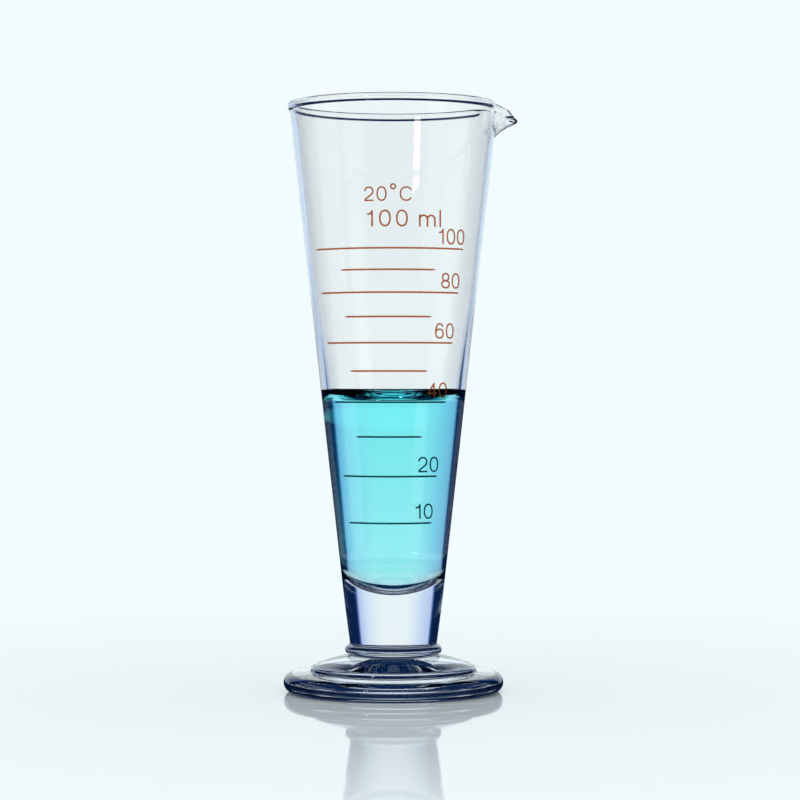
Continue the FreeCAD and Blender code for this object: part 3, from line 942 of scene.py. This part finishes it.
path = add_node(tree, "ShaderNodeLightPath")
lit = add_node(tree, "ShaderNodeBackground", values={"Color": linear("#F4FBFF"), "Strength": 0.9})
for ray, links in (("Is Glossy Ray", {"Color": mirrored}),
                   ("Is Transmission Ray", {"Color": through.outputs[MIXED]}), ("Is Camera Ray", {})):
    sight = add_node(tree, "ShaderNodeBackground", values={"Color": linear(BACKDROP), "Strength": 1.0},
                     links=links)
    lit = add_node(tree, "ShaderNodeMixShader",
                   links={0: path.outputs[ray], 1: lit.outputs[0], 2: sight.outputs[0]})
add_node(tree, "ShaderNodeOutputWorld", links={"Surface": lit.outputs[0]})
print("the world has", len(tree.nodes), "nodes")

# %% [markdown]
# ## The table
#
# The table is a sheet of pale acrylic with a slight gloss, which carries a faint reflection of the
# foot. For the camera it fades into the backdrop further back. In a studio one long sheet is bent up
# behind the object for this, and here a fade with distance does it with a single face.
#
# A pale table this close would fill the foot with white, and the photographed foot is full of darks.
# So rays that went through glass, or that glass mirrors, pass the sheet and see the room, apart from
# a ring of dark about the foot, which bent rays alone meet.

# %% Table
TABLE_HALF = 3000.0                      # mm
TABLE_GAP = 0.04                         # mm of air, as a dry foot touches the table at a few points only
DARK_RING = ((34.0, 0), (38.0, 1), (56.0, 1), (68.0, 0))    # mm from the axis, and how dark it is there
RING_REACH = 200.0                       # mm that the ring's colour ramp spans
FADE = (50.0, 400.0)                     # mm from the axis, where the fade begins and ends

corners = [(-1, -1), (1, -1), (1, 1), (-1, 1)]
floor = make_piece("table", [(x * TABLE_HALF, y * TABLE_HALF, 0) for x, y in corners], [(0, 1, 2, 3)],
                   smooth=False)
floor.location.z = -TABLE_GAP * MM
floor_material, tree, output = new_material("pale_acrylic_sheet")
sheet = add_node(tree, "ShaderNodeBsdfPrincipled",
                 values={"Base Color": linear("#FAFFFF"), "Roughness": 0.04, "IOR": 1.45})
place = add_node(tree, "ShaderNodeTexCoord")
far_off = add_node(tree, "ShaderNodeVectorMath", {"operation": "LENGTH"}, links={0: place.outputs["Object"]})
path = add_node(tree, "ShaderNodeLightPath")
air = add_node(tree, "ShaderNodeBsdfTransparent")

ring_share = add_node(tree, "ShaderNodeMath", {"operation": "MULTIPLY"}, {1: 1 / (RING_REACH * MM)},
                      {0: far_off.outputs["Value"]})
dark_ring = add_node(tree, "ShaderNodeValToRGB", links={0: ring_share.outputs[0]})
fill_ramp(dark_ring, [(radius / RING_REACH, linear(NAVY, dark)) for radius, dark in DARK_RING])
dark_floor = add_node(tree, "ShaderNodeEmission", values={"Strength": 1.0},
                      links={"Color": dark_ring.outputs["Color"]})
bent_in_ring = add_node(tree, "ShaderNodeMath", {"operation": "MULTIPLY"},
                        links={0: path.outputs["Is Transmission Ray"], 1: dark_ring.outputs["Alpha"]})
for_glass = add_node(tree, "ShaderNodeMixShader",
                     links={0: bent_in_ring.outputs[0], 1: air.outputs[0], 2: dark_floor.outputs[0]})

by_glass = add_node(tree, "ShaderNodeMath", {"operation": "MAXIMUM"},
                    links={0: path.outputs["Is Transmission Ray"], 1: path.outputs["Is Glossy Ray"]})
near = add_node(tree, "ShaderNodeMixShader",
                links={0: by_glass.outputs[0], 1: sheet.outputs[0], 2: for_glass.outputs[0]})
fades = add_node(tree, "ShaderNodeMapRange", {"interpolation_type": "SMOOTHSTEP"},
                 {"From Min": FADE[0] * MM, "From Max": FADE[1] * MM}, {"Value": far_off.outputs["Value"]})
seen_far = add_node(tree, "ShaderNodeMath", {"operation": "MULTIPLY"},
                    links={0: path.outputs["Is Camera Ray"], 1: fades.outputs["Result"]})
haze = add_node(tree, "ShaderNodeEmission", values={"Color": linear(BACKDROP), "Strength": 1.0})
whole = add_node(tree, "ShaderNodeMixShader",
                 links={0: seen_far.outputs[0], 1: near.outputs[0], 2: haze.outputs[0]})
tree.links.new(whole.outputs[0], output.inputs["Surface"])
floor.data.materials.append(floor_material)
floor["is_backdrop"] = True
print("the table's material has", len(tree.nodes), "nodes")

# %% [markdown]
# ## A dark border round the foot
#
# The front faces of the foot bend light by so little that they show what stands straight behind them,
# low down, and in the photograph that is dark. A photographer lays strips of dark card there, out of
# the camera's sight. Here it is a low ring of card that only bent rays see.

# %% Dark border
BORDER_RADIUS, BORDER_HEIGHT, BORDER_SIDES = 45.0, 12.0, 96

border_turns = [2 * math.pi * side / BORDER_SIDES for side in range(BORDER_SIDES)]
border_points = [(BORDER_RADIUS * math.cos(turn), BORDER_RADIUS * math.sin(turn), level)
                 for level in (0, BORDER_HEIGHT) for turn in border_turns]
border_faces = [(side, (side + 1) % BORDER_SIDES, (side + 1) % BORDER_SIDES + BORDER_SIDES,
                 side + BORDER_SIDES) for side in range(BORDER_SIDES)]
border = make_piece("dark_border", border_points, border_faces, smooth=False)
border_material, tree, output = new_material("dark_card")
path = add_node(tree, "ShaderNodeLightPath")
card = add_node(tree, "ShaderNodeEmission", values={"Color": linear(NAVY), "Strength": 1.0})
air = add_node(tree, "ShaderNodeBsdfTransparent")
seen = add_node(tree, "ShaderNodeMixShader",
                links={0: path.outputs["Is Transmission Ray"], 1: air.outputs[0], 2: card.outputs[0]})
tree.links.new(seen.outputs[0], output.inputs["Surface"])
border.data.materials.append(border_material)
border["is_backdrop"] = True
print("a border of", len(border.data.polygons), "faces")

# %% [markdown]
# ## Lamp
#
# One small softbox stands to the left of the camera and above it. Its reflection is the bright
# streak on the bowl. An area lamp has the softbox's own shape, so the reflection has it too.

# %% Lamp
LAMP_WIDE, LAMP_HIGH, LAMP_WATTS = 120.0, 110.0, 0.4
LAMP_TURN, LAMP_RISE = math.radians(-35), math.radians(20)   # seen from the object
LAMP_FAR = 1.0                                               # metres
LAMP_AIM = Vector((0, 0, 0.15))                              # just under the lip

lamp_data = bpy.data.lights.new("strip_softbox", "AREA")
lamp_data.shape = "RECTANGLE"
lamp_data.size = LAMP_WIDE * MM
lamp_data.size_y = LAMP_HIGH * MM
lamp_data.energy = LAMP_WATTS
lamp = bpy.data.objects.new("strip_softbox", lamp_data)
towards = Vector((math.sin(LAMP_TURN) * math.cos(LAMP_RISE), -math.cos(LAMP_TURN) * math.cos(LAMP_RISE),
                  math.sin(LAMP_RISE)))
lamp.location = towards * LAMP_FAR + LAMP_AIM
lamp.rotation_euler = (-towards).to_track_quat("-Z", "Y").to_euler()
bpy.context.scene.collection.objects.link(lamp)
print("lamp at", [round(v, 2) for v in lamp.location], "m")

# %% [markdown]
# ## Camera
#
# The ellipses of the rim and the foot tell where the photograph was taken from: rather near, and
# about halfway up the measure. The rim is seen a little from below and the foot a little from above.
# The lens is found from the height of the object in the picture.

# %% Camera
CAMERA_FAR, CAMERA_HEIGHT, CAMERA_ASIDE = 770.0, 89.0, 1.9     # mm
VIEW_TURN = math.radians(6)          # the camera looks this far from +Y, towards +X
SENSOR = 36.0                        # mm
PICTURE_WIDTH = 800.0                # pixels
LENS_PIXELS = 2662.0                 # the lens's distance from the picture, in its pixels
DROP_PIXELS = 16.6                   # how far below the level line the picture's middle is

camera_data = bpy.data.cameras.new("camera")
camera_data.sensor_width = SENSOR
camera_data.lens = SENSOR * LENS_PIXELS / PICTURE_WIDTH
camera_data.clip_start, camera_data.clip_end = 0.05, 20
camera = bpy.data.objects.new("camera", camera_data)
ahead = Vector((math.sin(VIEW_TURN), math.cos(VIEW_TURN), 0))
right = Vector((math.cos(VIEW_TURN), -math.sin(VIEW_TURN), 0))
camera.location = (-ahead * CAMERA_FAR + right * CAMERA_ASIDE + Vector((0, 0, CAMERA_HEIGHT))) * MM
tilted = ahead + Vector((0, 0, -DROP_PIXELS / LENS_PIXELS))
camera.rotation_euler = tilted.to_track_quat("-Z", "Y").to_euler()
bpy.context.scene.collection.objects.link(camera)
bpy.context.scene.camera = camera
bpy.context.scene.view_settings.view_transform = "Standard"
print(f"a lens of {camera_data.lens:.0f} mm")

# %% [markdown]
# ## Sizes side by side
#
# The box of the solid model and the box of what is shown here are written out, to be compared.

# %% Write the sizes and finish
boxes = {"cad": [list(v) for v in cad_box], "visual": [list(v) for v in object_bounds()]}
for name, box in boxes.items():
    print(name, "box in mm:", [[round(v * 1000, 2) for v in corner] for corner in box])
